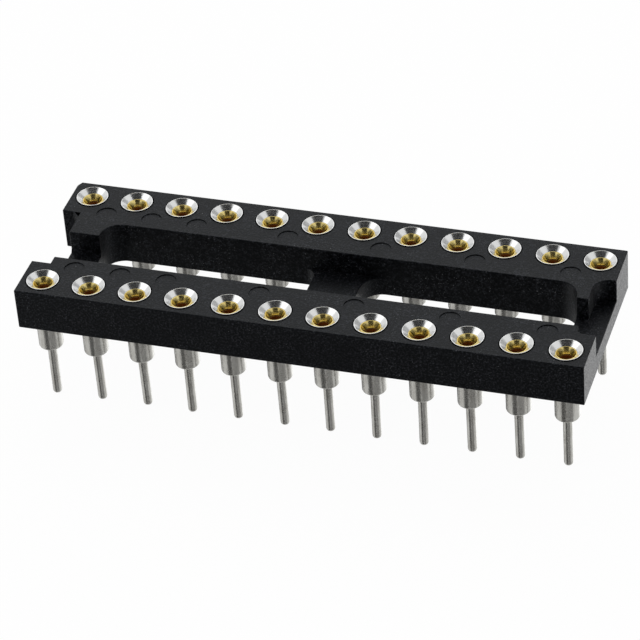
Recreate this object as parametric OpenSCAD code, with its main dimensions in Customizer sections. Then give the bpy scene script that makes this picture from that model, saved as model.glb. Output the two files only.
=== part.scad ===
// Open-frame socket for a dual-in-line package: turned sleeves with spring clips in one moulded frame.
// Millimetres. +X runs along the contact rows, +Y across them and +Z up. The origin lies under the middle
// of the frame, level with the tips of the tails. Contact 1 stands in the +Y row at the +X end, by the
// rounded notch, and the count goes round as on the package that plugs in.

/* [Contact grid] */
// Number of contacts in each row
contacts_per_row = 12; // [8:1:14]
// Distance between neighbours in a row
pitch = 2.54; // [2.4:0.02:3]
// Distance between the centre lines of the two rows
row_spacing = 7.62; // [7.2:0.02:10.16]

/* [Frame] */
// Height of the moulded frame
frame_h = 2.4; // [2:0.1:3.6]
// Length that the frame gives up so that sockets can stand end to end
end_relief = 0.18; // [0:0.02:0.4]
// From a row's centre line out to the long side
outer_margin = 1.19; // [1.1:0.01:1.6]
// From a row's centre line in to the window wall
inner_margin = 2.1; // [1.9:0.01:2.3]
// Bevel along the outer edges
edge_bevel = 0.06; // [0.02:0.01:0.15]

/* [Webs and windows] */
// Height of the three cross webs above the frame's underside
web_h = 1.1; // [0.6:0.05:1.6]
// Width of each end web along the rows
end_web_w = 1.7; // [1.4:0.05:2.2]
// Width of the middle web along the rows
middle_web_w = 2.65; // [1.6:0.05:4]
// Radius of the window corners
window_corner_r = 1.2; // [0.6:0.05:1.6]
// Radius of the two window corners on the plain side of the middle web
web_corner_r = 0.6; // [0.3:0.05:1.2]
// Reach of the raised shoulder in from the +Y window wall
shoulder_reach = 1.2; // [0.6:0.05:2.2]
// Width of the bevel where the shoulder's wall meets the web below it
root_bevel_w = 0.1; // [0.05:0.05:0.4]
// Height of that bevel
root_bevel_h = 0.2; // [0.05:0.05:0.4]

/* [End recesses] */
// Depth of the recess in each end of the frame
recess_depth = 1.05; // [0.5:0.05:1.2]
// From a row's centre line in to the recess wall
recess_margin = 1.5; // [1.3:0.01:1.9]
// Radius of the inner corners of the notch at the contact 1 end
notch_corner_r = 0.85; // [0.3:0.05:1.2]
// Leg of the gusset in the corner of the square recess
gusset_leg = 0.45; // [0.2:0.05:0.8]
// Depth of the pit that the gate's break left in the top of the gusset
gate_pit_depth = 0.35; // [0.1:0.05:0.8]
// Width of the lip left in front of that pit
gate_lip_w = 0.05; // [0.02:0.01:0.1]

/* [Ejector marks] */
// Diameter of each round ejector mark
mark_d = 1.1; // [0.6:0.1:1.3]
// Depth of each ejector mark
mark_depth = 0.07; // [0.02:0.01:0.2]
// From a row's centre line in to the centre of the marks
mark_inset = 1.31; // [1.2:0.01:1.4]

/* [Sleeve] */
// Diameter of the sleeve's head
head_d = 1.72; // [1.66:0.01:1.9]
// Height of the head, from its seat to the rim
head_h = 0.6; // [0.45:0.05:0.9]
// Height of the rim above the frame
rim_rise = 0.05; // [0:0.01:0.2]
// Width of the flat rim round the funnel
rim_w = 0.05; // [0.02:0.01:0.08]
// Depth of the funnel
funnel_depth = 0.22; // [0.15:0.01:0.35]
// Diameter of the press collar below the head
collar_d = 1.48; // [1.42:0.01:1.56]
// Height of the press collar
collar_h = 0.8; // [0.4:0.05:1]
// Diameter of the barrel
barrel_d = 1.3; // [1.26:0.01:1.36]
// Length of barrel that stands out below the frame
standoff = 1.8; // [0.8:0.1:3]
// Bevel at the foot of the barrel
barrel_bevel = 0.06; // [0.02:0.01:0.12]
// Width of the ledge in the bore that carries the clip's ring
ledge_w = 0.04; // [0.02:0.01:0.06]
// Floor of metal left between the drilled bore and the tail
floor_t = 0.5; // [0.3:0.05:0.7]
// Height of the drill point at the foot of the bore
drill_point_h = 0.2; // [0.1:0.05:0.3]

/* [Tail] */
// Diameter of the round tail
tail_d = 0.48; // [0.4:0.01:0.6]
// Length of the tail below the barrel
tail_l = 3.2; // [2:0.1:5]
// Rounding of the tail's tip
tip_r = 0.14; // [0.05:0.01:0.18]

/* [Spring clip] */
// Outer diameter of the clip's ring
ring_d = 1.08; // [1.06:0.01:1.12]
// Height of the ring, from its seat in the sleeve to its top
ring_h = 0.65; // [0.45:0.05:0.8]
// Diameter of the hole through the ring
ring_bore_d = 0.68; // [0.62:0.01:0.7]
// Depth of the lead-in at the top of the ring
lead_in_depth = 0.32; // [0.1:0.01:0.4]
// Width of the flat top of the ring
ring_top_w = 0.03; // [0.02:0.01:0.06]
// Length of the four fingers below the ring
finger_l = 1.5; // [1:0.1:1.8]
// Thickness of the fingers
finger_t = 0.1; // [0.06:0.01:0.12]
// Diameter of the throat between the fingers
throat_d = 0.38; // [0.3:0.01:0.45]
// How far the finger tips stand back from the throat
tip_flare = 0.06; // [0.02:0.01:0.08]
// Width of the slits between the fingers
slit_w = 0.14; // [0.08:0.01:0.2]

/* [Clearances] */
// Gap round the sleeve's head in its seat
head_gap = 0.06; // [0.03:0.01:0.08]
// Gap round the press collar and the barrel in the frame
press_gap = 0.02; // [0.01:0.01:0.04]
// Gap round the clip in the sleeve
clip_gap = 0.01; // [0.005:0.005:0.02]

/* [Hidden] */
contact_count = 2 * contacts_per_row;
$fn = 48;
cut = 0.1;                                  // overshoot of every cutting solid

// levels
barrel_z = tail_l;                          // foot of the barrel
frame_z = barrel_z + standoff;              // underside of the frame
web_z = frame_z + web_h;                    // top of the webs
top_z = frame_z + frame_h;                  // top of the frame
rim_z = top_z + rim_rise;                   // top of the sleeves
seat_z = rim_z - head_h;                    // seat of the heads
throat_z = rim_z - funnel_depth;            // foot of the funnel, level with the top of the clip
ledge_z = throat_z - ring_h;                // seat of the clip's ring

// frame outline
frame_l = contacts_per_row * pitch - end_relief;
frame_w = row_spacing + 2 * outer_margin;
window_y = row_spacing / 2 - inner_margin;
recess_y = row_spacing / 2 - recess_margin;
shoulder_y = window_y - shoulder_reach;
mark_y = row_spacing / 2 - mark_inset;

// places along the rows
low_end_x = -frame_l / 2;
high_end_x = frame_l / 2;
low_web_x = low_end_x + recess_depth;
first_window_x = low_web_x + end_web_w;
window_l = (high_end_x - end_web_w - first_window_x - middle_web_w) / 2;
middle_web_x = first_window_x + window_l;
second_window_x = middle_web_x + middle_web_w;
high_web_x = second_window_x + window_l;

// radii of the turned sleeve
funnel_r = head_d / 2 - rim_w;
ring_seat_r = ring_d / 2 + clip_gap;
finger_room_r = ring_seat_r - ledge_w;      // room for the fingers below the ledge
bore_foot_z = barrel_z + floor_t;

function two_digits(k) = k < 10 ? str("0", k) : str(k);
function numbered(name, k) = str(name, "_", two_digits(k));

// Place of contact k: along the +Y row from the notch, then back along the -Y row
function step_along(k) = k <= contacts_per_row ? contacts_per_row - k : k - contacts_per_row - 1;
function contact_place(k) = [(step_along(k) - (contacts_per_row - 1) / 2) * pitch,
                             (k <= contacts_per_row ? 1 : -1) * row_spacing / 2, 0];

// The marks lie in every second space between contacts, and in the space next to the first
function has_mark(space) = space % 2 == 1 || space == 2;

module at_contacts() {
    for (k = [1:contact_count]) translate(contact_place(k)) children();
}

// Opening from x along the rows, with rounded corners of its own radius at each end
module window(x, low_r, high_r) {
    difference() {
        translate([x, -window_y]) square([window_l, 2 * window_y]);
        for (side = [-1, 1]) {
            translate([x, side * window_y]) corner_filler(1, -side, low_r);
            translate([x + window_l, side * window_y]) corner_filler(-1, -side, high_r);
        }
    }
}

// What a corner radius leaves standing in a corner that opens towards to_x and to_y
module corner_filler(to_x, to_y, r) {
    difference() {
        translate([to_x < 0 ? -r : -cut, to_y < 0 ? -r : -cut]) square(r + cut);
        translate([to_x * r, to_y * r]) circle(r);
    }
}

// Block with all its outer edges bevelled
module bevelled_block(l, w, h, bevel) {
    intersection() {
        linear_extrude(h) bevelled_rectangle(l, w, bevel);
        translate([0, w / 2, h / 2]) rotate([90, 0, 0]) linear_extrude(w) bevelled_rectangle(l, h, bevel);
        translate([-l / 2, 0, h / 2]) rotate([90, 0, 90]) linear_extrude(l) bevelled_rectangle(w, h, bevel);
    }
}

module bevelled_rectangle(a, b, bevel) {
    polygon([for (corner = [[1, 1], [-1, 1], [-1, -1], [1, -1]])
             each bevel_points(corner[0] * a / 2, corner[1] * b / 2, corner[0], corner[1], bevel)]);
}

// Two points that cut one corner, in counter-clockwise order
function bevel_points(x, y, sx, sy, bevel) = sx * sy > 0
    ? [[x, y - sy * bevel], [x - sx * bevel, y]]
    : [[x - sx * bevel, y], [x, y - sy * bevel]];

// Everything above the webs that is open between the bars
module web_channels() {
    above = frame_h - web_h + cut;
    translate([low_end_x - cut, -window_y, web_z])
        cube([first_window_x + window_corner_r - low_end_x + cut, window_y + shoulder_y, above]);
    translate([high_web_x - window_corner_r, -window_y, web_z])
        cube([high_end_x - high_web_x + window_corner_r + cut, window_y + shoulder_y, above]);
    translate([middle_web_x - web_corner_r, -window_y, web_z])
        cube([middle_web_w + web_corner_r + window_corner_r, 2 * window_y, above]);
}

// Square recess through the low end, and the rounded notch above the web at the high end
module end_recesses() {
    translate([low_end_x - cut, -recess_y, frame_z - cut])
        cube([recess_depth + cut, 2 * recess_y, frame_h + 2 * cut]);
    translate([high_end_x - recess_depth, 0, web_z]) linear_extrude(frame_h) difference() {
        translate([0, -recess_y]) square([recess_depth + cut, 2 * recess_y]);
        for (side = [-1, 1]) translate([0, side * recess_y]) corner_filler(1, -side, notch_corner_r);
    }
}

// Bevel along the foot of each shoulder's wall
module shoulder_roots() {
    for (span = [[low_web_x, end_web_w], [high_web_x, end_web_w - recess_depth]])
        translate([span[0], shoulder_y, web_z]) rotate([90, 0, 90]) linear_extrude(span[1])
            polygon([[cut, -cut], [cut, root_bevel_h], [0, root_bevel_h], [-root_bevel_w, 0],
                     [-root_bevel_w, -cut]]);
}

// Gusset that the moulding gate left in the corner of the square recess, with a pit in its top
module gate_gusset() {
    pit_leg = gusset_leg - gate_lip_w * sqrt(2);
    translate([low_web_x, recess_y, frame_z]) difference() {
        linear_extrude(frame_h)
            polygon([[cut, cut], [-gusset_leg, cut], [-gusset_leg, 0], [0, -gusset_leg], [cut, -gusset_leg]]);
        translate([0, 0, frame_h - gate_pit_depth]) linear_extrude(gate_pit_depth + cut)
            polygon([[0, 0], [-pit_leg, 0], [0, -pit_leg]]);
    }
}

module ejector_marks() {
    for (space = [1:contacts_per_row - 1], side = [-1, 1]) if (has_mark(space))
        translate([(space - contacts_per_row / 2) * pitch, side * mark_y, top_z - mark_depth])
            cylinder(d = mark_d, h = mark_depth + cut);
}

// Stepped hole for one sleeve: seat for the head, bore for the press collar, bore for the barrel
module sleeve_hole() {
    collar_foot_z = seat_z - collar_h - press_gap;
    translate([0, 0, seat_z]) cylinder(d = head_d + 2 * head_gap, h = head_h + cut);
    translate([0, 0, collar_foot_z]) cylinder(d = collar_d + 2 * press_gap, h = seat_z - collar_foot_z + cut);
    translate([0, 0, frame_z - cut]) cylinder(d = barrel_d + 2 * press_gap, h = frame_h);
}

// Moulded frame: two bars, three webs, two windows
module frame() {
    color("#2b2e33") difference() {
        union() {
            difference() {
                translate([0, 0, frame_z]) bevelled_block(frame_l, frame_w, frame_h, edge_bevel);
                translate([0, 0, frame_z - cut]) linear_extrude(frame_h + 2 * cut) {
                    window(first_window_x, window_corner_r, web_corner_r);
                    window(second_window_x, window_corner_r, window_corner_r);
                }
                web_channels();
                end_recesses();
            }
            shoulder_roots();
            gate_gusset();
        }
        ejector_marks();
        at_contacts() sleeve_hole();
    }
}

// Half section of the sleeve, from the tip of the tail up the outside and back down the bore
function sleeve_section() = concat(
    [[0, 0]],
    [for (a = [-90:30:0]) [tail_d / 2 - tip_r + tip_r * cos(a), tip_r + tip_r * sin(a)]],
    [[tail_d / 2, barrel_z],
     [barrel_d / 2 - barrel_bevel, barrel_z],
     [barrel_d / 2, barrel_z + barrel_bevel],
     [barrel_d / 2, seat_z - collar_h],
     [collar_d / 2, seat_z - collar_h + (collar_d - barrel_d) / 2],
     [collar_d / 2, seat_z],
     [head_d / 2, seat_z],
     [head_d / 2, rim_z],
     [funnel_r, rim_z],
     [ring_seat_r, throat_z],
     [ring_seat_r, ledge_z],
     [finger_room_r, ledge_z],
     [finger_room_r, bore_foot_z + drill_point_h],
     [0, bore_foot_z]]);

// Turned sleeve: funnel and head, press collar, barrel, tail
module sleeve() {
    color("#c9c8c4") rotate_extrude() polygon(sleeve_section());
}

// Half section of the clip: ring with a lead-in, fingers that close to the throat and open again
function clip_section() =
    let (tip_z = ledge_z - finger_l,
         throat_at_z = tip_z + finger_l / 4, // the throat lies a quarter of the way up the fingers
         finger_r = ring_bore_d / 2 + finger_t,
         tip_in_r = throat_d / 2 + tip_flare)
    [[ring_bore_d / 2, ledge_z],
     [throat_d / 2, throat_at_z],
     [tip_in_r, tip_z],
     [tip_in_r + finger_t, tip_z],
     [throat_d / 2 + finger_t, throat_at_z],
     [finger_r, ledge_z],
     [ring_d / 2, ledge_z],
     [ring_d / 2, throat_z],
     [ring_d / 2 - ring_top_w, throat_z],
     [ring_bore_d / 2, throat_z - lead_in_depth]];

// Stamped spring clip with four fingers
module contact_clip() {
    color("#d9a83a") difference() {
        rotate_extrude() polygon(clip_section());
        for (turn = [0, 90]) rotate([0, 0, turn])
            translate([-ring_d, -slit_w / 2, ledge_z - finger_l - cut])
                cube([2 * ring_d, slit_w, finger_l + cut]);
    }
}

frame();
for (k = [1:contact_count]) {
    translate(contact_place(k)) sleeve();
    translate(contact_place(k)) contact_clip();
}
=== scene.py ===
import math
import bpy
import bmesh
from mathutils import Matrix, Vector


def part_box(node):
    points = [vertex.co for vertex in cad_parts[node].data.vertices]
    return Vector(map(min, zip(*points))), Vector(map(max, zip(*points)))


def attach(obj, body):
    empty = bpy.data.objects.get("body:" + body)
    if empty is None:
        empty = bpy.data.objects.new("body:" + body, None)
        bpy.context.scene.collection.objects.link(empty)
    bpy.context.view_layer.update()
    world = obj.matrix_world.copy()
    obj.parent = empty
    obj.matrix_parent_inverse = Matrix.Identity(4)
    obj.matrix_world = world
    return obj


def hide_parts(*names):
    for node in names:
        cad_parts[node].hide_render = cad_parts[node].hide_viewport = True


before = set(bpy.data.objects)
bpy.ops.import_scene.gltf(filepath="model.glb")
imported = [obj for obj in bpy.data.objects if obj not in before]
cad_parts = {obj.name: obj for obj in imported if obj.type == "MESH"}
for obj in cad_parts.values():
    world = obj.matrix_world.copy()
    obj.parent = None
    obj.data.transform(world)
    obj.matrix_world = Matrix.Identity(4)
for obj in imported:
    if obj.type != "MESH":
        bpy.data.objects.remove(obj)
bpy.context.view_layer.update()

# Everything is shaped in millimetres and scaled to metres once, when a piece is finished.
millimetre = 0.001
body = "root"


def nodeBox(node):
    low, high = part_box(node)
    return low / millimetre, high / millimetre


def nodesNamed(start):
    return sorted(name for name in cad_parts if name.startswith(start))


frameLow, frameHigh = nodeBox("frame")
sleeveLow, sleeveHigh = nodeBox("sleeve_01")
nextLow, nextHigh = nodeBox("sleeve_02")
clipTop = nodeBox("contact_clip_01")[1].z
firstPlace = (sleeveLow + sleeveHigh) / 2           # contact 1 stands by the rounded notch
nextPlace = (nextLow + nextHigh) / 2

grid = {
    "perRow": len(nodesNamed("sleeve_")) // 2,
    "pitch": firstPlace.x - nextPlace.x,
    "rowSpacing": 2 * firstPlace.y,
}


# Outlines: a corner is (across, along, radius), and a radius of 0 leaves it sharp.

def roundedCorner(before, corner, after, radius, arcStep):
    point = Vector(corner)
    toBefore = (Vector(before) - point).normalized()
    toAfter = (Vector(after) - point).normalized()
    half = toBefore.angle(toAfter) / 2
    reach = radius / math.tan(half)
    centre = point + (toBefore + toAfter).normalized() * radius / math.sin(half)
    start = point + toBefore * reach - centre
    end = point + toAfter * reach - centre
    turn = start.angle_signed(end)
    steps = max(2, round(abs(turn) * radius / arcStep))
    points = []
    for step in range(steps + 1):
        angle = -turn * step / steps
        cosine, sine = math.cos(angle), math.sin(angle)
        points.append(centre + Vector((start.x * cosine - start.y * sine,
                                       start.x * sine + start.y * cosine)))
    return points


def outline(corners, closed=True, arcStep=0.09):
    points = []
    last = len(corners) - 1
    for index, (x, y, radius) in enumerate(corners):
        isEnd = not closed and index in (0, last)
        if radius == 0 or isEnd:
            points.append(Vector((x, y)))
            continue
        before = corners[index - 1][:2]
        after = corners[(index + 1) % len(corners)][:2]
        points += roundedCorner(before, (x, y), after, radius, arcStep)
    # snapped, so that walls in one plane are truly flush
    return [Vector((round(point.x, 4), round(point.y, 4))) for point in points]


# Meshes

onAxis = 1e-9              # a point nearer the axis than this is a pole


def addPrism(mesh, points, low, high):
    bottom = [mesh.verts.new((p.x, p.y, low)) for p in points]
    top = [mesh.verts.new((p.x, p.y, high)) for p in points]
    mesh.faces.new(top)
    mesh.faces.new(list(reversed(bottom)))
    for index in range(len(points)):
        following = (index + 1) % len(points)
        mesh.faces.new((bottom[index], bottom[following], top[following], top[index]))


def addTurned(mesh, section, sides, place=(0, 0)):
    # section is a half section as (radius, height) points; points on the axis become poles
    rings = []
    for radius, height in section:
        if radius < onAxis:
            rings.append([mesh.verts.new((place[0], place[1], height))])
            continue
        ring = []
        for side in range(sides):
            angle = 2 * math.pi * side / sides
            ring.append(mesh.verts.new((place[0] + radius * math.cos(angle),
                                        place[1] + radius * math.sin(angle), height)))
        rings.append(ring)
    loops = list(zip(rings, rings[1:]))
    if len(rings[0]) > 1:
        loops.append((rings[-1], rings[0]))
    for ring, following in loops:
        for side in range(sides):
            beside = (side + 1) % sides
            corners = [ring[side % len(ring)], ring[beside % len(ring)],
                       following[beside % len(following)], following[side % len(following)]]
            corners = list(dict.fromkeys(corners))
            if len(corners) > 2:
                mesh.faces.new(corners)


def newObject(name, mesh):
    bmesh.ops.recalc_face_normals(mesh, faces=mesh.faces)
    if mesh.calc_volume(signed=True) < 0:      # recalculating can turn a whole shell inside out
        bmesh.ops.reverse_faces(mesh, faces=mesh.faces)
    data = bpy.data.meshes.new(name)
    mesh.to_mesh(data)
    mesh.free()
    made = bpy.data.objects.new(name, data)
    bpy.context.scene.collection.objects.link(made)
    return made


def remove(made):
    data = made.data
    bpy.data.objects.remove(made)
    bpy.data.meshes.remove(data)


def applied(made):
    # the modifiers' result as a plain mesh
    graph = bpy.context.evaluated_depsgraph_get()
    data = bpy.data.meshes.new_from_object(made.evaluated_get(graph), depsgraph=graph)
    made.modifiers.clear()
    old = made.data
    made.data = data
    bpy.data.meshes.remove(old)
    data.name = made.name
    return made


def combine(made, other, operation):
    step = made.modifiers.new(operation, "BOOLEAN")
    step.operation = operation
    step.solver = "EXACT"
    step.object = other
    applied(made)
    remove(other)


def finishPiece(piece, nodes):
    piece.data.transform(Matrix.Scale(millimetre, 4))
    piece.data.update()
    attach(piece, body)
    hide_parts(*nodes)
    triangles = sum(len(face.vertices) - 2 for face in piece.data.polygons)
    print(f"{piece.name}: {triangles} triangles")


# The moulded frame

frameSizes = {
    "webTop": 6.1,
    "windowHalf": 1.71,
    "lowWebX": -14.1,          # inner wall of the square recess
    "firstWindow": (-12.4, -0.8),
    "secondWindow": (1.85, 13.45),
    "lowEndRadius": 1.05,
    "highEndRadius": 1.12,
    "webRadius": 0.6,
    "recessHalf": 2.31,
    "notchX": 14.1,
    "notchRadius": 0.85,
    "nearNotchRadius": 0.4,
    "shoulderY": 0.51,
    "rootWidth": 0.1,
    "rootHeight": 0.2,
    "gussetLeg": 0.45,
    "gateLip": 0.05,
    "gatePit": 0.35,
    "nick": (0.2, 0.4, 0.9),   # broken off the top corner behind the square recess
    "markRadius": 0.55,
    "markDepth": 0.045,
    "markY": 2.5,
    "edgeSoftness": 0.05,
    "edgeSegments": 3,
    "sharpAngle": 35,
    "seatRadius": 0.92,
    "collarRadius": 0.76,
    "barrelRadius": 0.67,
    "seatZ": 6.85,
    "collarFootZ": 6.03,
    "holeSides": 64,
    "markSides": 40,
    "over": 0.5,               # overshoot of every cutter
}


def contactPlaces():
    for row in (-1, 1):
        for step in range(grid["perRow"]):
            x = (step - (grid["perRow"] - 1) / 2) * grid["pitch"]
            yield x, row * grid["rowSpacing"] / 2


def makeUpperOpening(s):
    # above the webs one channel runs from end to end, and only the shoulders reach into it
    out = frameHigh.x + s["over"]
    low, high = s["firstWindow"][0], s["secondWindow"][1]
    w, recess, leg = s["windowHalf"], s["recessHalf"], s["gussetLeg"]
    corners = [
        (-out, -recess, 0), (s["lowWebX"], -recess, 0), (s["lowWebX"], -w, 0),
        (s["notchX"], -w, 0), (s["notchX"], -recess, s["nearNotchRadius"]), (out, -recess, 0),
        (out, recess, 0), (s["notchX"], recess, s["notchRadius"]), (s["notchX"], s["shoulderY"], 0),
        (high, s["shoulderY"], 0), (high, w, s["highEndRadius"]), (low, w, s["lowEndRadius"]),
        (low, s["shoulderY"], 0), (s["lowWebX"], s["shoulderY"], 0),
        (s["lowWebX"], recess - leg, 0), (s["lowWebX"] - leg, recess, 0), (-out, recess, 0)]
    mesh = bmesh.new()
    addPrism(mesh, outline(corners), s["webTop"], frameHigh.z + s["over"])
    opening = newObject("upperOpening", mesh)
    for start, end in ((s["lowWebX"], low), (high, s["notchX"])):
        combine(opening, makeRoot(s, start, end), "DIFFERENCE")
    return opening


def makeRoot(s, start, end):
    # the small slope left standing where a shoulder's wall meets the web, carried on into both
    wall, foot, wide, high = s["shoulderY"], s["webTop"], s["rootWidth"], s["rootHeight"]
    section = ((wall + wide, foot + 2 * high), (wall - 2 * wide, foot - high), (wall + wide, foot - high))
    mesh = bmesh.new()
    near = [mesh.verts.new((start, y, z)) for y, z in section]
    far = [mesh.verts.new((end, y, z)) for y, z in section]
    mesh.faces.new(near)
    mesh.faces.new(list(reversed(far)))
    for index in range(len(section)):
        following = (index + 1) % len(section)
        mesh.faces.new((near[index], near[following], far[following], far[index]))
    return newObject("shoulderRoot", mesh)


def makeWindows(s):
    mesh = bmesh.new()
    w, low, high = s["windowHalf"], frameLow.z - s["over"], s["webTop"] + s["over"]
    for ends, radii in ((s["firstWindow"], (s["lowEndRadius"], s["webRadius"])),
                        (s["secondWindow"], (s["highEndRadius"], s["highEndRadius"]))):
        corners = [(ends[0], -w, radii[0]), (ends[1], -w, radii[1]),
                   (ends[1], w, radii[1]), (ends[0], w, radii[0])]
        addPrism(mesh, outline(corners), low, high)
    # the square recess, less the gusset that the moulding gate left in one corner
    out, x = frameLow.x - s["over"], s["lowWebX"]
    recess, leg = s["recessHalf"], s["gussetLeg"]
    corners = [(out, -recess, 0), (x, -recess, 0), (x, recess - leg, 0),
               (x - leg, recess, 0), (out, recess, 0)]
    addPrism(mesh, outline(corners), low, frameHigh.z + s["over"])
    return newObject("windows", mesh)


def makeNick(s):
    x, y, z = frameLow.x, frameHigh.y, frameHigh.z
    along, across, down = s["nick"]
    mesh = bmesh.new()
    corner = mesh.verts.new((x - along, y + across, z + down))
    reach = 3                  # each foot is this many lengths off, which cuts one length of each edge
    feet = [mesh.verts.new(spot) for spot in ((x + reach * along, y + across, z + down),
                                              (x - along, y - reach * across, z + down),
                                              (x - along, y + across, z - reach * down))]
    mesh.faces.new(feet)
    for index in range(3):
        mesh.faces.new((corner, feet[index], feet[(index + 1) % 3]))
    return newObject("nick", mesh)


def makeHoles(s):
    mesh = bmesh.new()
    top, bottom = frameHigh.z + s["over"], frameLow.z - s["over"]
    section = [(0, top), (s["seatRadius"], top), (s["seatRadius"], s["seatZ"]),
               (s["collarRadius"], s["seatZ"]), (s["collarRadius"], s["collarFootZ"]),
               (s["barrelRadius"], s["collarFootZ"]), (s["barrelRadius"], bottom), (0, bottom)]
    for place in contactPlaces():
        addTurned(mesh, section, s["holeSides"], place)
    # ejector marks in every other space between the contacts, and in the second
    floor = frameHigh.z - s["markDepth"]
    mark = [(0, top), (s["markRadius"], top), (s["markRadius"], floor), (0, floor)]
    for space in range(1, grid["perRow"]):
        if space % 2 == 1 or space == 2:
            x = (space - grid["perRow"] / 2) * grid["pitch"]
            for side in (-1, 1):
                addTurned(mesh, mark, s["markSides"], (x, side * s["markY"]))
    # the pit that the gate's break left in the top of the gusset
    x, y = s["lowWebX"], s["recessHalf"]
    leg = s["gussetLeg"] - s["gateLip"] * math.sqrt(2)
    pit = outline([(x, y, 0), (x - leg, y, 0), (x, y - leg, 0)])
    addPrism(mesh, pit, frameHigh.z - s["gatePit"], top)
    return newObject("holes", mesh)


def softenEdges(made, s):
    # only outward edges are rounded
    mesh = bmesh.new()
    mesh.from_mesh(made.data)
    weights = mesh.edges.layers.float.new("bevel_weight_edge")
    for edge in mesh.edges:
        if len(edge.link_faces) == 2 and edge.calc_face_angle_signed() > math.radians(s["sharpAngle"]):
            edge[weights] = 1
    mesh.to_mesh(made.data)
    mesh.free()
    soft = made.modifiers.new("softEdges", "BEVEL")
    soft.width = s["edgeSoftness"]
    soft.segments = s["edgeSegments"]
    soft.limit_method = "WEIGHT"
    soft.use_clamp_overlap = False
    applied(made)


def evenNormals(made, sharpAngle):
    # large faces keep their own normals, and small ones blend into them
    for face in made.data.polygons:
        face.use_smooth = True
    made.data.set_sharp_from_angle(angle=math.radians(sharpAngle))
    even = made.modifiers.new("evenNormals", "WEIGHTED_NORMAL")
    even.mode = "FACE_AREA"
    even.keep_sharp = True
    applied(made)


def makeFrame(s):
    mesh = bmesh.new()
    x, y = frameHigh.x, frameHigh.y
    addPrism(mesh, outline([(-x, -y, 0), (x, -y, 0), (x, y, 0), (-x, y, 0)]), frameLow.z, frameHigh.z)
    piece = newObject("moulded_frame", mesh)
    combine(piece, makeUpperOpening(s), "DIFFERENCE")
    combine(piece, makeWindows(s), "DIFFERENCE")
    softenEdges(piece, s)
    combine(piece, makeHoles(s), "DIFFERENCE")
    combine(piece, makeNick(s), "DIFFERENCE")
    evenNormals(piece, s["sharpAngle"])
    return piece


# The turned sleeves

sleeveSizes = {
    "sides": 64,
    "tailRadius": 0.24,
    "tipRadius": 0.19,
    "barrelZ": 3.2,
    "barrelRadius": 0.65,
    "barrelBevel": 0.12,
    "collarFootZ": 6.05,
    "collarRadius": 0.74,
    "headRadius": 0.86,
    "headSeatZ": 6.85,
    "rimWidth": 0.02,
    "funnelDepth": 0.22,
    "boreRadius": 0.55,
    "ledgeZ": 6.58,
    "fingerRoomRadius": 0.51,
    "drillZ": 3.7,
    "drillPoint": 0.2,         # height of the cone that the drill leaves
    "collarRamp": 0.09,
    "cutEdge": 0.02,           # rounding that the lathe leaves on small edges
    "rootRadius": 0.03,
    "rimRadius": 0.03,
    "rimInnerRadius": 0.01,
    "arcStep": 0.02,
    "lean": 0.012,             # most slope of a tail, in each direction
    "seed": 3,
    "sharpAngle": 32,
}


def sleeveSection(s):
    rim = sleeveHigh.z
    inner = s["headRadius"] - s["rimWidth"]
    edge = s["cutEdge"]
    corners = [
        (0, 0, 0), (s["tailRadius"], 0, s["tipRadius"]), (s["tailRadius"], s["barrelZ"], s["rootRadius"]),
        (s["barrelRadius"], s["barrelZ"], s["barrelBevel"]), (s["barrelRadius"], s["collarFootZ"], 0),
        (s["collarRadius"], s["collarFootZ"] + s["collarRamp"], edge),
        (s["collarRadius"], s["headSeatZ"], 0), (s["headRadius"], s["headSeatZ"], edge),
        (s["headRadius"], rim, s["rimRadius"]), (inner, rim, s["rimInnerRadius"]),
        (s["boreRadius"], rim - s["funnelDepth"], edge), (s["boreRadius"], s["ledgeZ"], 0),
        (s["fingerRoomRadius"], s["ledgeZ"], 0),
        (s["fingerRoomRadius"], s["drillZ"] + s["drillPoint"], 0), (0, s["drillZ"], 0)]
    return outline(corners, closed=False, arcStep=s["arcStep"])


def makeSleeveSource(s):
    mesh = bmesh.new()
    addTurned(mesh, sleeveSection(s), s["sides"])
    sleeve = newObject("sleeveSource", mesh)
    evenNormals(sleeve, s["sharpAngle"])
    return sleeve


# The spring clips

clipSizes = {
    "sides": 64,
    "ringRadius": 0.54,
    "topWidth": 0.03,
    "boreRadius": 0.34,
    "leadIn": 0.32,
    "ledgeZ": 6.58,
    "fingerLength": 1.5,
    "fingerThickness": 0.1,
    "throatRadius": 0.19,
    "flare": 0.06,
    "slit": 0.14,
    "throatShare": 0.25,       # of the fingers' length, up from their tips
    "fingerBend": 0.3,
    "ringBend": 0.1,
    "tipEdge": 0.02,
    "ringEdge": 0.015,
    "leadInFoot": 0.06,
    "arcStep": 0.02,
    "over": 0.1,
    "lean": 0.0,
    "leanBelow": 0.0,
    "seed": 11,
    "sharpAngle": 32,
}


def clipSection(s):
    top = clipTop
    tip = s["ledgeZ"] - s["fingerLength"]
    throatZ = tip + s["fingerLength"] * s["throatShare"]
    throat, thick = s["throatRadius"], s["fingerThickness"]
    corners = [
        (s["boreRadius"], s["ledgeZ"], s["ringBend"]), (throat, throatZ, s["fingerBend"]),
        (throat + s["flare"], tip, s["tipEdge"]), (throat + s["flare"] + thick, tip, s["tipEdge"]),
        (throat + thick, throatZ, s["fingerBend"]), (s["boreRadius"] + thick, s["ledgeZ"], 0),
        (s["ringRadius"], s["ledgeZ"], 0), (s["ringRadius"], top, s["ringEdge"]),
        (s["ringRadius"] - s["topWidth"], top, s["ringEdge"]),
        (s["boreRadius"], top - s["leadIn"], s["leadInFoot"])]
    return outline(corners, closed=True, arcStep=s["arcStep"])


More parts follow.
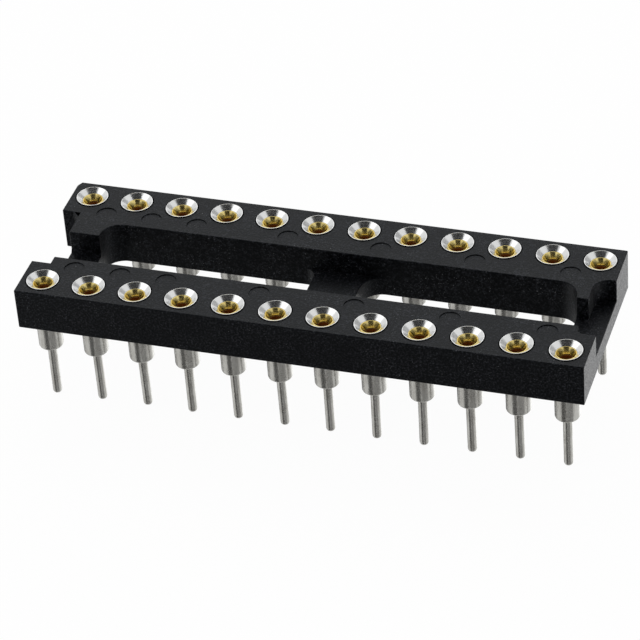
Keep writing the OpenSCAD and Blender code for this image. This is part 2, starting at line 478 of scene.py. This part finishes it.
def makeClipSource(s):
    mesh = bmesh.new()
    addTurned(mesh, clipSection(s), s["sides"])
    clip = newObject("clipSource", mesh)
    half, reach = s["slit"] / 2, 2 * s["ringRadius"]
    low = s["ledgeZ"] - s["fingerLength"] - s["over"]
    # two crossed slits leave four fingers
    for wide, deep in ((reach, half), (half, reach)):
        corners = [(-wide, -deep, 0), (wide, -deep, 0), (wide, deep, 0), (-wide, deep, 0)]
        slit = bmesh.new()
        addPrism(slit, outline(corners), low, s["ledgeZ"])
        combine(clip, newObject("slit", slit), "DIFFERENCE")
    evenNormals(clip, s["sharpAngle"])
    return clip


# One tree sets out every contact: a grid of places, a copy at each, turned and leaning a little

waySeedStep = 7            # keeps the draw of the leaning apart from the draw of the turning


def contactTree():
    tree = bpy.data.node_groups.new("contactRows", "GeometryNodeTree")
    inputs = {}
    tree.interface.new_socket("Geometry", in_out="OUTPUT", socket_type="NodeSocketGeometry")
    for name, kind in (("Piece", "NodeSocketObject"), ("Finish", "NodeSocketMaterial"),
                       ("Per row", "NodeSocketInt"), ("Pitch", "NodeSocketFloat"),
                       ("Row spacing", "NodeSocketFloat"), ("Lean", "NodeSocketFloat"),
                       ("Lean below", "NodeSocketFloat"), ("Seed", "NodeSocketInt")):
        inputs[name] = tree.interface.new_socket(name, in_out="INPUT", socket_type=kind).identifier
    node = tree.nodes.new
    link = tree.links.new
    given = node("NodeGroupInput").outputs
    result = node("NodeGroupOutput")

    length = node("ShaderNodeMath")
    length.operation = "MULTIPLY_ADD"             # pitch * perRow - pitch
    link(given["Pitch"], length.inputs[0])
    link(given["Per row"], length.inputs[1])
    less = node("ShaderNodeMath")
    less.operation = "MULTIPLY"
    link(given["Pitch"], less.inputs[0])
    less.inputs[1].default_value = -1
    link(less.outputs[0], length.inputs[2])

    places = node("GeometryNodeMeshGrid")
    link(length.outputs[0], places.inputs["Size X"])
    link(given["Row spacing"], places.inputs["Size Y"])
    link(given["Per row"], places.inputs["Vertices X"])
    places.inputs["Vertices Y"].default_value = 2

    piece = node("GeometryNodeObjectInfo")
    link(given["Piece"], piece.inputs["Object"])
    keep = node("GeometryNodeStoreNamedAttribute")     # place on the single piece, for its finish
    keep.data_type = "FLOAT_VECTOR"
    keep.inputs["Name"].default_value = "turnedPlace"
    here = node("GeometryNodeInputPosition")
    link(piece.outputs["Geometry"], keep.inputs["Geometry"])
    link(here.outputs[0], keep.inputs["Value"])

    turn = node("FunctionNodeRandomValue")
    turn.data_type = "FLOAT_VECTOR"
    turn.inputs["Min"].default_value = (0, 0, 0)
    turn.inputs["Max"].default_value = (0, 0, 2 * math.pi)
    link(given["Seed"], turn.inputs["Seed"])
    copies = node("GeometryNodeInstanceOnPoints")
    link(places.outputs["Mesh"], copies.inputs["Points"])
    link(keep.outputs["Geometry"], copies.inputs["Instance"])
    link(turn.outputs["Value"], copies.inputs["Rotation"])

    way = node("FunctionNodeRandomValue")
    way.data_type = "FLOAT_VECTOR"
    way.inputs["Min"].default_value = (-1, -1, 0)
    way.inputs["Max"].default_value = (1, 1, 1)
    offset = node("FunctionNodeIntegerMath")
    link(given["Seed"], offset.inputs[0])
    offset.inputs[1].default_value = waySeedStep
    link(offset.outputs[0], way.inputs["Seed"])
    keepWay = node("GeometryNodeStoreNamedAttribute")
    keepWay.data_type = "FLOAT_VECTOR"
    keepWay.domain = "INSTANCE"
    keepWay.inputs["Name"].default_value = "contactWay"
    link(copies.outputs["Instances"], keepWay.inputs["Geometry"])
    link(way.outputs["Value"], keepWay.inputs["Value"])

    real = node("GeometryNodeRealizeInstances")
    link(keepWay.outputs["Geometry"], real.inputs["Geometry"])

    spot = node("ShaderNodeSeparateXYZ")
    now = node("GeometryNodeInputPosition")
    link(now.outputs[0], spot.inputs[0])
    below = node("ShaderNodeMath")
    below.operation = "SUBTRACT"
    link(given["Lean below"], below.inputs[0])
    link(spot.outputs["Z"], below.inputs[1])
    only = node("ShaderNodeMath")
    only.operation = "MAXIMUM"
    link(below.outputs[0], only.inputs[0])
    only.inputs[1].default_value = 0
    amount = node("ShaderNodeMath")
    amount.operation = "MULTIPLY"
    link(only.outputs[0], amount.inputs[0])
    link(given["Lean"], amount.inputs[1])
    stored = node("GeometryNodeInputNamedAttribute")
    stored.data_type = "FLOAT_VECTOR"
    stored.inputs["Name"].default_value = "contactWay"
    flat = node("ShaderNodeVectorMath")
    flat.operation = "MULTIPLY"
    link(stored.outputs["Attribute"], flat.inputs[0])
    flat.inputs[1].default_value = (1, 1, 0)
    shift = node("ShaderNodeVectorMath")
    shift.operation = "SCALE"
    link(flat.outputs[0], shift.inputs[0])
    link(amount.outputs[0], shift.inputs["Scale"])
    move = node("GeometryNodeSetPosition")
    link(real.outputs["Geometry"], move.inputs["Geometry"])
    link(shift.outputs[0], move.inputs["Offset"])

    finish = node("GeometryNodeSetMaterial")
    link(move.outputs["Geometry"], finish.inputs["Geometry"])
    link(given["Finish"], finish.inputs["Material"])
    link(finish.outputs["Geometry"], result.inputs[0])
    return tree, inputs


contactRows, contactInputs = contactTree()


def setOut(name, source, finish, lean, leanBelow, seed):
    rows = newObject(name, bmesh.new())
    step = rows.modifiers.new("contactRows", "NODES")
    step.node_group = contactRows
    for label, value in (("Piece", source), ("Finish", finish), ("Per row", grid["perRow"]),
                         ("Pitch", grid["pitch"]), ("Row spacing", grid["rowSpacing"]),
                         ("Lean", lean), ("Lean below", leanBelow), ("Seed", seed)):
        step[contactInputs[label]] = value
    applied(rows)
    remove(source)
    return rows


# Finishes

def newFinish(name):
    finish = bpy.data.materials.new(name)
    finish.use_nodes = True
    tree = finish.node_tree
    tree.nodes.clear()
    surface = tree.nodes.new("ShaderNodeBsdfPrincipled")
    output = tree.nodes.new("ShaderNodeOutputMaterial")
    tree.links.new(surface.outputs[0], output.inputs[0])
    return finish, tree, surface


def noise(tree, place, scale, detail, roughness):
    made = tree.nodes.new("ShaderNodeTexNoise")
    made.inputs["Scale"].default_value = scale
    made.inputs["Detail"].default_value = detail
    made.inputs["Roughness"].default_value = roughness
    tree.links.new(place, made.inputs["Vector"])
    return made.outputs["Fac"]


def between(tree, value, low, high, outLow=0.0, outHigh=1.0):
    made = tree.nodes.new("ShaderNodeMapRange")
    made.inputs["From Min"].default_value = low
    made.inputs["From Max"].default_value = high
    made.inputs["To Min"].default_value = outLow
    made.inputs["To Max"].default_value = outHigh
    tree.links.new(value, made.inputs["Value"])
    return made.outputs[0]


def calc(tree, operation, first, second):
    made = tree.nodes.new("ShaderNodeMath")
    made.operation = operation
    for socket, value in zip(made.inputs, (first, second)):
        if isinstance(value, (int, float)):
            socket.default_value = value
        else:
            tree.links.new(value, socket)
    return made.outputs[0]


def blendColour(tree, share, first, second):
    made = tree.nodes.new("ShaderNodeMix")
    made.data_type = "RGBA"
    # for colours it takes sockets 6 and 7 and gives socket 2
    for socket, value in ((made.inputs[0], share), (made.inputs[6], first), (made.inputs[7], second)):
        if isinstance(value, tuple):
            socket.default_value = (*value, 1)
        else:
            tree.links.new(value, socket)
    return made.outputs[2]


def bump(tree, height, strength, distance, before=None):
    made = tree.nodes.new("ShaderNodeBump")
    made.inputs["Strength"].default_value = strength
    made.inputs["Distance"].default_value = distance
    tree.links.new(height, made.inputs["Height"])
    if before:
        tree.links.new(before, made.inputs["Normal"])
    return made.outputs[0]


# A range is the stretch of a noise that is spread out, and a bump is (strength, distance in metres).
# Noise scales are per metre, unless they say otherwise.

middleRange = (0.3, 0.7)       # holds nearly all of a noise

plastic = {
    "base": (0.0007, 0.0008, 0.0011),
    "pale": (0.027, 0.0285, 0.034),
    "speck": (0.20, 0.205, 0.215),
    "specular": 0.11,
    "sheenTint": (0.84, 0.92, 1.0),
    "cloudScale": 700,
    "cloudRange": (0.3, 0.65),
    "cloudLeast": 0.35,        # share of the grain left where the cloud is thinnest
    "grainScale": 9000,
    "grainRange": (0.5, 0.68),
    "fleckScale": 15000,
    "fleckRange": (0.70, 0.78),
    "fleckPatches": (0.42, 0.6),
    "roughness": (0.28, 0.44),
    "cloudBump": (0.3, 0.00003),
    "grainBump": (0.8, 0.00003),
}


def blackPlastic(s):
    finish, tree, surface = newFinish("blackPlastic")
    place = tree.nodes.new("ShaderNodeTexCoord").outputs["Object"]
    cloud = noise(tree, place, s["cloudScale"], detail=4, roughness=0.6)
    grain = noise(tree, place, s["grainScale"], detail=3, roughness=0.65)
    fleck = noise(tree, place, s["fleckScale"], detail=1, roughness=0.5)
    mottle = calc(tree, "MULTIPLY", between(tree, cloud, *s["cloudRange"], s["cloudLeast"], 1),
                  between(tree, grain, *s["grainRange"]))
    colour = blendColour(tree, mottle, s["base"], s["pale"])
    flecks = calc(tree, "MULTIPLY", between(tree, fleck, *s["fleckRange"]),
                  between(tree, cloud, *s["fleckPatches"]))
    colour = blendColour(tree, flecks, colour, s["speck"])
    tree.links.new(colour, surface.inputs["Base Color"])
    tree.links.new(between(tree, grain, *middleRange, *s["roughness"]), surface.inputs["Roughness"])
    surface.inputs["Specular IOR Level"].default_value = s["specular"]
    surface.inputs["Specular Tint"].default_value = (*s["sheenTint"], 1)
    normal = bump(tree, cloud, *s["cloudBump"])
    normal = bump(tree, grain, *s["grainBump"], normal)
    tree.links.new(normal, surface.inputs["Normal"])
    return finish


tin = {
    "barrel": (0.46, 0.455, 0.43),
    "funnel": (0.68, 0.685, 0.68),
    "stain": (0.32, 0.31, 0.285),
    "matt": 6.6,               # heights in millimetres between which matt turns bright
    "bright": 7.1,
    "gritGone": 6.6,           # the grit fades out between these
    "gritFull": 6.2,
    "cutsAcross": 40,          # turning marks, per millimetre
    "cutsAlong": 26,
    "cloudScale": 1600,
    "cloudRange": (0.4, 0.75),
    "gritScale": 9000,
    "streakStretch": (11, 11, 1.1),     # per millimetre
    "streakRange": (0.4, 0.65),
    "stainShare": 0.6,
    "roughness": (0.25, 0.16),
    "roughnessDrift": (-0.03, 0.05),
    "cutBump": (0.35, 0.000006),
    "cloudBump": (0.15, 0.00002),
    "streakBump": (0.25, 0.000005),
    "gritBump": (0.6, 0.00001),
}


def turnedPlaceOf(tree):
    made = tree.nodes.new("ShaderNodeAttribute")
    made.attribute_name = "turnedPlace"
    return made.outputs["Vector"]


def latheCoordinates(tree, place, acrossCuts, alongCuts):
    # fine across the turning, slow round it
    parts = tree.nodes.new("ShaderNodeSeparateXYZ")
    tree.links.new(place, parts.inputs[0])
    flat = tree.nodes.new("ShaderNodeVectorMath")
    flat.operation = "MULTIPLY"
    tree.links.new(place, flat.inputs[0])
    flat.inputs[1].default_value = (1, 1, 0)
    radius = tree.nodes.new("ShaderNodeVectorMath")
    radius.operation = "LENGTH"
    tree.links.new(flat.outputs[0], radius.inputs[0])
    cut = calc(tree, "ADD", calc(tree, "MULTIPLY", radius.outputs["Value"], acrossCuts),
               calc(tree, "MULTIPLY", parts.outputs["Z"], alongCuts))
    turned = tree.nodes.new("ShaderNodeVectorMath")
    turned.operation = "NORMALIZE"
    tree.links.new(flat.outputs[0], turned.inputs[0])
    way = tree.nodes.new("ShaderNodeSeparateXYZ")
    tree.links.new(turned.outputs[0], way.inputs[0])
    made = tree.nodes.new("ShaderNodeCombineXYZ")
    tree.links.new(cut, made.inputs["X"])
    tree.links.new(way.outputs["X"], made.inputs["Y"])
    tree.links.new(way.outputs["Y"], made.inputs["Z"])
    return made.outputs[0], parts.outputs["Z"]


def stretched(tree, place, scale):
    made = tree.nodes.new("ShaderNodeMapping")
    made.inputs["Scale"].default_value = scale
    tree.links.new(place, made.inputs["Vector"])
    return made.outputs[0]


def tinPlate(s):
    finish, tree, surface = newFinish("tinPlate")
    local = turnedPlaceOf(tree)
    lathe, height = latheCoordinates(tree, local, s["cutsAcross"], s["cutsAlong"])
    place = tree.nodes.new("ShaderNodeTexCoord").outputs["Object"]
    cuts = noise(tree, lathe, 1.0, detail=3, roughness=0.6)
    cloud = noise(tree, place, s["cloudScale"], detail=3, roughness=0.6)
    grit = noise(tree, place, s["gritScale"], detail=2, roughness=0.6)
    streaks = noise(tree, stretched(tree, local, s["streakStretch"]), 1.0, detail=3, roughness=0.65)
    # the funnel is cut bright, and the barrel and tail stay greyer, with streaks drawn along them
    stain = calc(tree, "ADD", between(tree, cloud, *s["cloudRange"], 0, s["stainShare"]),
                 between(tree, streaks, *s["streakRange"], 0, s["stainShare"]))
    colour = blendColour(tree, stain, s["barrel"], s["stain"])
    colour = blendColour(tree, between(tree, height, s["matt"], s["bright"]), colour, s["funnel"])
    tree.links.new(colour, surface.inputs["Base Color"])
    surface.inputs["Metallic"].default_value = 1
    smooth = between(tree, height, s["matt"], s["bright"], *s["roughness"])
    drift = between(tree, cloud, *middleRange, *s["roughnessDrift"])
    tree.links.new(calc(tree, "ADD", smooth, drift), surface.inputs["Roughness"])
    normal = bump(tree, cuts, *s["cutBump"])
    normal = bump(tree, cloud, *s["cloudBump"], normal)
    normal = bump(tree, streaks, *s["streakBump"], normal)
    lowGrit = calc(tree, "MULTIPLY", grit, between(tree, height, s["gritGone"], s["gritFull"]))
    normal = bump(tree, lowGrit, *s["gritBump"], normal)
    tree.links.new(normal, surface.inputs["Normal"])
    return finish


gold = {
    "base": (0.76, 0.64, 0.27),
    "deep": (0.68, 0.52, 0.17),
    "paintedBoreShade": (0.24, 0.068, 0.010),
    "shadeFrom": 6.93,         # heights in millimetres between which the bore is painted dark, a painted shade for its depth
    "shadeTo": 6.8,
    "paintedShadeMetallic": 0.3,
    "cloudScale": 2600,
    "cloudRange": (0.35, 0.7),
    "fineScale": 9,            # per millimetre
    "roughness": (0.14, 0.26),
    "fineBump": (0.1, 0.000005),
}


def goldPlate(s):
    finish, tree, surface = newFinish("goldPlate")
    local = turnedPlaceOf(tree)
    place = tree.nodes.new("ShaderNodeTexCoord").outputs["Object"]
    cloud = noise(tree, place, s["cloudScale"], detail=3, roughness=0.6)
    fine = noise(tree, local, s["fineScale"], detail=3, roughness=0.6)
    colour = blendColour(tree, between(tree, cloud, *s["cloudRange"]), s["base"], s["deep"])
    parts = tree.nodes.new("ShaderNodeSeparateXYZ")
    tree.links.new(local, parts.inputs[0])
    # painted shade: below the lead-in the bore is painted dark brown and less metallic, standing in for
    # the shade deep inside it
    boreShadeShare = between(tree, parts.outputs["Z"], s["shadeFrom"], s["shadeTo"])
    colour = blendColour(tree, boreShadeShare, colour, s["paintedBoreShade"])
    tree.links.new(colour, surface.inputs["Base Color"])
    tree.links.new(between(tree, boreShadeShare, 0, 1, 1, s["paintedShadeMetallic"]), surface.inputs["Metallic"])
    tree.links.new(between(tree, fine, *middleRange, *s["roughness"]), surface.inputs["Roughness"])
    tree.links.new(bump(tree, fine, *s["fineBump"]), surface.inputs["Normal"])
    return finish


# Floor, light and camera

studio = {
    "floorSize": 1.2,
    "floorColour": (0.86, 0.86, 0.86),
    "floorGlow": 0.96,
    "worldColour": (1.0, 1.0, 1.0),
    "worldStrength": 0.75,     # for diffuse light; what is looked at directly shows white
    "aimHeight": 0.004,
}

# Lamps and cards stand round the object, in metres and watts. Azimuth 0 is its front and 90 its right end.
lamps = {
    "topSoftbox": {
        "azimuth": 198, "elevation": 50, "distance": 0.36, "width": 0.46, "height": 0.30, "power": 0.35,
    },
    "leftSoftbox": {
        "azimuth": -75, "elevation": 40, "distance": 0.34, "width": 0.22, "height": 0.22, "power": 0.10,
    },
    "rightSoftbox": {
        "azimuth": 125, "elevation": 18, "distance": 0.34, "width": 0.26, "height": 0.10, "power": 0.06,
    },
    "lowStrip": {
        "azimuth": 160, "elevation": -35, "distance": 0.32, "width": 0.18, "height": 0.20, "power": 0.10,
    },
}

# Only the gloss sees the cards. Those below the floor stand where the gloss of the sides looks: they are a
# painted reflection of the floor, darker where the object's shadow would lie on it in front and
# underneath.
cards = {
    "highBlack": {
        "azimuth": 14, "elevation": 46, "distance": 0.28, "width": 0.34, "height": 0.44, "grey": 0.05,
    },
    "backGrey": {
        "azimuth": 143, "elevation": 26, "distance": 0.30, "width": 0.15, "height": 0.16, "grey": 0.60,
    },
    "lowBlack": {
        "azimuth": -17, "elevation": -37, "distance": 0.28, "width": 0.17, "height": 0.34, "grey": 0.20,
    },
    "lowGrey": {
        "azimuth": 40, "elevation": -37, "distance": 0.30, "width": 0.26, "height": 0.34, "grey": 0.55,
    },
    "lowBack": {
        "azimuth": 216, "elevation": -37, "distance": 0.28, "width": 0.18, "height": 0.34, "grey": 0.05,
    },
}

dullRoughness = 0.9
dullSpecular = 0.1


def plainPanel(name, width, height, place, towards, finish):
    mesh = bmesh.new()
    bmesh.ops.create_grid(mesh, x_segments=1, y_segments=1, size=0.5)
    data = bpy.data.meshes.new(name)
    mesh.to_mesh(data)
    mesh.free()
    made = bpy.data.objects.new(name, data)
    bpy.context.scene.collection.objects.link(made)
    turn = (Vector(towards) - Vector(place)).to_track_quat("Z", "Y").to_matrix().to_4x4()
    made.matrix_world = Matrix.Translation(place) @ turn @ Matrix.Diagonal((width, height, 1, 1))
    data.materials.append(finish)
    return made


def plainColour(name, colour):
    finish, _, surface = newFinish(name)
    surface.inputs["Base Color"].default_value = (*colour, 1)
    surface.inputs["Roughness"].default_value = dullRoughness
    surface.inputs["Specular IOR Level"].default_value = dullSpecular
    return finish


def lightRays(tree):
    # 1 where the camera or a reflection looks, 0 where only light is given
    paths = tree.nodes.new("ShaderNodeLightPath")
    glossy = calc(tree, "MAXIMUM", paths.outputs["Is Glossy Ray"], paths.outputs["Is Transmission Ray"])
    return calc(tree, "MAXIMUM", paths.outputs["Is Camera Ray"], glossy)


def floorFinish(s):
    # part of its white is its own, so that the shadow stays faint
    finish = plainColour("paleFloor", s["floorColour"])
    tree = finish.node_tree
    output = tree.nodes["Material Output"]
    surface = tree.nodes["Principled BSDF"]
    glow = tree.nodes.new("ShaderNodeEmission")
    blend = tree.nodes.new("ShaderNodeMixShader")
    tree.links.new(calc(tree, "MULTIPLY", lightRays(tree), s["floorGlow"]), blend.inputs[0])
    tree.links.new(surface.outputs[0], blend.inputs[1])
    tree.links.new(glow.outputs[0], blend.inputs[2])
    tree.links.new(blend.outputs[0], output.inputs[0])
    return finish


def around(azimuth, elevation, distance):
    a, e = math.radians(azimuth), math.radians(elevation)
    return Vector((math.sin(a) * math.cos(e), -math.cos(a) * math.cos(e), math.sin(e))) * distance


def addLamp(name, spec, middle):
    data = bpy.data.lights.new(name, "AREA")
    data.shape = "RECTANGLE"
    data.size = spec["width"]
    data.size_y = spec["height"]
    data.energy = spec["power"]
    data.use_shadow = spec["elevation"] > 0     # one that stands below the floor shines through it
    made = bpy.data.objects.new(name, data)
    bpy.context.scene.collection.objects.link(made)
    made.location = middle + around(spec["azimuth"], spec["elevation"], spec["distance"])
    made.rotation_euler = (middle - made.location).to_track_quat("-Z", "Y").to_euler()


def addCard(name, spec, middle):
    place = middle + around(spec["azimuth"], spec["elevation"], spec["distance"])
    finish = plainColour(name, [spec["grey"]] * 3)
    card = plainPanel(name, spec["width"], spec["height"], place, middle, finish)
    card.visible_camera = False
    card.visible_shadow = False
    card.visible_diffuse = False


def makeStudio(s):
    floor = plainPanel("floor", s["floorSize"], s["floorSize"], (0, 0, 0), (0, 0, 1), floorFinish(s))
    floor.visible_glossy = False     # the gloss sees the world's white beyond it, and the low cards
    middle = Vector((0, 0, s["aimHeight"]))
    for name, spec in lamps.items():
        addLamp(name, spec, middle)
    for name, spec in cards.items():
        addCard(name, spec, middle)

    world = bpy.data.worlds.new("studioWorld")
    bpy.context.scene.world = world
    world.use_nodes = True
    world.node_tree.nodes.clear()
    tree = world.node_tree
    strength = between(tree, lightRays(tree), 0, 1, s["worldStrength"], 1)
    sky = tree.nodes.new("ShaderNodeBackground")
    sky.inputs["Color"].default_value = (*s["worldColour"], 1)
    tree.links.new(strength, sky.inputs["Strength"])
    out = tree.nodes.new("ShaderNodeOutputWorld")
    tree.links.new(sky.outputs[0], out.inputs[0])


cameraView = {
    "azimuth": 19.58,
    "elevation": 37.38,
    "roll": -4.53,
    "lens": 185.3,
    "sensor": 36,
    "clip": (0.01, 10),                    # metres
    "place": (45.75, -129.26, 108.95),     # millimetres
}


def makeCamera(s):
    data = bpy.data.cameras.new("camera")
    data.sensor_width = s["sensor"]
    data.lens = s["lens"]
    data.clip_start, data.clip_end = s["clip"]
    made = bpy.data.objects.new("camera", data)
    bpy.context.scene.collection.objects.link(made)
    back = around(s["azimuth"], s["elevation"], 1)
    a, roll = math.radians(s["azimuth"]), math.radians(s["roll"])
    right = Vector((math.cos(a), math.sin(a), 0))
    up = back.cross(right)
    across = right * math.cos(roll) + up * math.sin(roll)
    upright = up * math.cos(roll) - right * math.sin(roll)
    turn = Matrix((across, upright, back)).transposed().to_4x4()
    made.matrix_world = Matrix.Translation(Vector(s["place"]) * millimetre) @ turn
    bpy.context.scene.camera = made


makeCamera(cameraView)
print("camera set")
makeStudio(studio)
print("studio lit")

mouldedFrame = makeFrame(frameSizes)
mouldedFrame.data.materials.clear()
mouldedFrame.data.materials.append(blackPlastic(plastic))
finishPiece(mouldedFrame, ["frame"])
print("frame moulded")

turnedSleeves = setOut("turned_sleeves", makeSleeveSource(sleeveSizes), tinPlate(tin),
                       sleeveSizes["lean"], sleeveSizes["barrelZ"], sleeveSizes["seed"])
finishPiece(turnedSleeves, nodesNamed("sleeve_"))
print("sleeves set out")

springClips = setOut("spring_clips", makeClipSource(clipSizes), goldPlate(gold),
                     clipSizes["lean"], clipSizes["leanBelow"], clipSizes["seed"])
finishPiece(springClips, nodesNamed("contact_clip_"))
print("clips set out")

bpy.context.scene.view_settings.view_transform = "Standard"
